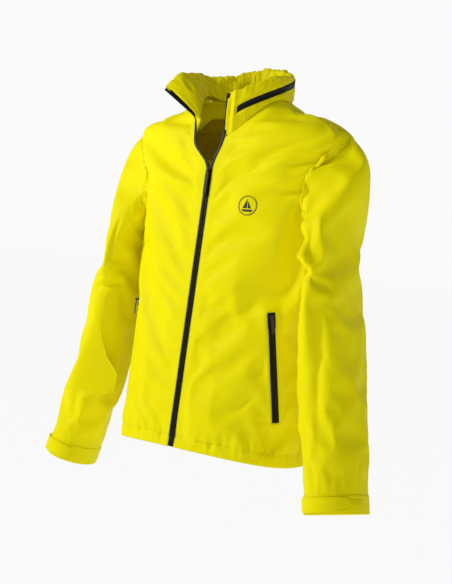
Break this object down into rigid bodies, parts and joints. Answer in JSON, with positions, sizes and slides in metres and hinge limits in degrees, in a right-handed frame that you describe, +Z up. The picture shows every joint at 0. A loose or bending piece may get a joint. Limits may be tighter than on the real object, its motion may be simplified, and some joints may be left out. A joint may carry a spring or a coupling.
{
  "type": "foul weather jacket",
  "caption": "Waterproof shell jacket with a stand collar that stows a hood, coated zips, two hand pockets, hook-and-loop cuff tabs and a hang loop.",
  "frame": {"origin": "middle of the gap of the hang loop, inside the back of the neck", "axes": "+Z up, -Y the wearer's front, +X the wearer's left"},
  "size_m": [0.7208, 0.2611, 0.8073],
  "materials": {
    "shell_fabric": "coated woven nylon, fluorescent yellow",
    "lining": "matt woven lining",
    "coated_zip_tape": "smooth coated black tape",
    "zip_coil": "moulded coil",
    "zip_hardware": "black lacquer",
    "hook_and_loop": "hook and loop pile",
    "webbing": "narrow woven tape",
    "print_ink": "flat transfer print"
  },
  "bodies": {
    "shell": {"front_panel_left": "shell_fabric", "front_panel_right": "shell_fabric", "back_panel_left": "shell_fabric", "back_panel_right": "shell_fabric", "hem_casing": "shell_fabric", "sleeve_cap_left": "shell_fabric", "sleeve_cap_right": "shell_fabric", "underarm_left": "shell_fabric", "underarm_right": "shell_fabric", "collar_outer": "shell_fabric", "collar_facing": "shell_fabric", "hood_roll": "shell_fabric", "collar_zip_tape": "coated_zip_tape", "main_zip_tape_left": "coated_zip_tape", "main_zip_tape_right": "coated_zip_tape", "main_zip_coil_left": "zip_coil", "main_zip_coil_right": "zip_coil", "main_zip_pin": "zip_hardware", "main_zip_box": "zip_hardware", "storm_flap": "shell_fabric", "pocket_zip_tape_left": "coated_zip_tape", "pocket_zip_tape_right": "coated_zip_tape", "pocket_garage_left": "coated_zip_tape", "pocket_garage_right": "coated_zip_tape", "pocket_bag_left": "lining", "pocket_bag_right": "lining", "hang_loop": "webbing", "neck_lining": "lining", "chest_print": "print_ink"},
    "sleeve_left_body": {"top_sleeve_left": "shell_fabric", "under_sleeve_left": "shell_fabric", "cuff_left": "shell_fabric", "cuff_loop_left": "hook_and_loop"},
    "sleeve_right_body": {"top_sleeve_right": "shell_fabric", "under_sleeve_right": "shell_fabric", "cuff_right": "shell_fabric", "cuff_loop_right": "hook_and_loop"},
    "tab_left": {"cuff_tab_left": "shell_fabric", "cuff_hook_left": "hook_and_loop"},
    "tab_right": {"cuff_tab_right": "shell_fabric", "cuff_hook_right": "hook_and_loop"},
    "main_slider": {"main_zip_slider": "zip_hardware"},
    "main_puller": {"main_zip_puller": "zip_hardware"},
    "pocket_slider_left": {"pocket_zip_slider_left": "zip_hardware"},
    "pocket_puller_left": {"pocket_zip_puller_left": "zip_hardware"},
    "pocket_slider_right": {"pocket_zip_slider_right": "zip_hardware"},
    "pocket_puller_right": {"pocket_zip_puller_right": "zip_hardware"},
    "collar_slider": {"collar_zip_slider": "zip_hardware"},
    "collar_puller": {"collar_zip_puller": "zip_hardware"}
  },
  "joints": [
    {"name": "sleeve_left_raise", "type": "hinge", "parent": "shell", "child": "sleeve_left_body", "pos_m": [0.26975, -0.09151, -0.28001], "axis": [-0.0344, -0.9969, 0.0711], "range_deg": [0, 60]},
    {"name": "cuff_tab_left_peel", "type": "hinge", "parent": "sleeve_left_body", "child": "tab_left", "pos_m": [0.27698, -0.18145, -0.69016], "axis": [0.2224, -0.1232, -0.9672], "range_deg": [0, 90]},
    {"name": "sleeve_right_raise", "type": "hinge", "parent": "shell", "child": "sleeve_right_body", "pos_m": [-0.26341, -0.09152, -0.28234], "axis": [-0.032, 0.9969, -0.0718], "range_deg": [0, 60]},
    {"name": "cuff_tab_right_peel", "type": "hinge", "parent": "sleeve_right_body", "child": "tab_right", "pos_m": [-0.26492, -0.18147, -0.7016], "axis": [0.2191, 0.1186, 0.9685], "range_deg": [0, 90]},
    {"name": "main_zip_slide", "type": "slide", "parent": "shell", "child": "main_slider", "axis": [0, -0.0725, -0.9974], "range_m": [0, 0.476]},
    {"name": "main_puller_flip", "type": "hinge", "parent": "main_slider", "child": "main_puller", "pos_m": [0, -0.17366, -0.12761], "axis": [-1, 0, 0], "range_deg": [0, 150]},
    {"name": "pocket_zip_left_slide", "type": "slide", "parent": "shell", "child": "pocket_slider_left", "axis": [0.1141, 0.0792, -0.9903], "range_m": [0, 0.17]},
    {"name": "pocket_puller_left_flip", "type": "hinge", "parent": "pocket_slider_left", "child": "pocket_puller_left", "pos_m": [0.1583, -0.15195, -0.38261], "axis": [-0.6291, -0.7657, -0.1338], "range_deg": [0, 150]},
    {"name": "pocket_zip_right_slide", "type": "slide", "parent": "shell", "child": "pocket_slider_right", "axis": [-0.1141, 0.0792, -0.9903], "range_m": [0, 0.17]},
    {"name": "pocket_puller_right_flip", "type": "hinge", "parent": "pocket_slider_right", "child": "pocket_puller_right", "pos_m": [-0.1583, -0.15195, -0.38261], "axis": [-0.6291, 0.7657, 0.1338], "range_deg": [0, 150]},
    {"name": "collar_zip_slide", "type": "hinge", "parent": "shell", "child": "collar_slider", "pos_m": [0, -0.074, 0.036], "axis": [0, 0.3714, -0.9285], "range_deg": [0, 138]},
    {"name": "collar_puller_flip", "type": "hinge", "parent": "collar_slider", "child": "collar_puller", "pos_m": [-0.08154, -0.02685, 0.05486], "axis": [0, -0.3714, 0.9285], "range_deg": [0, 120]}
  ]
}
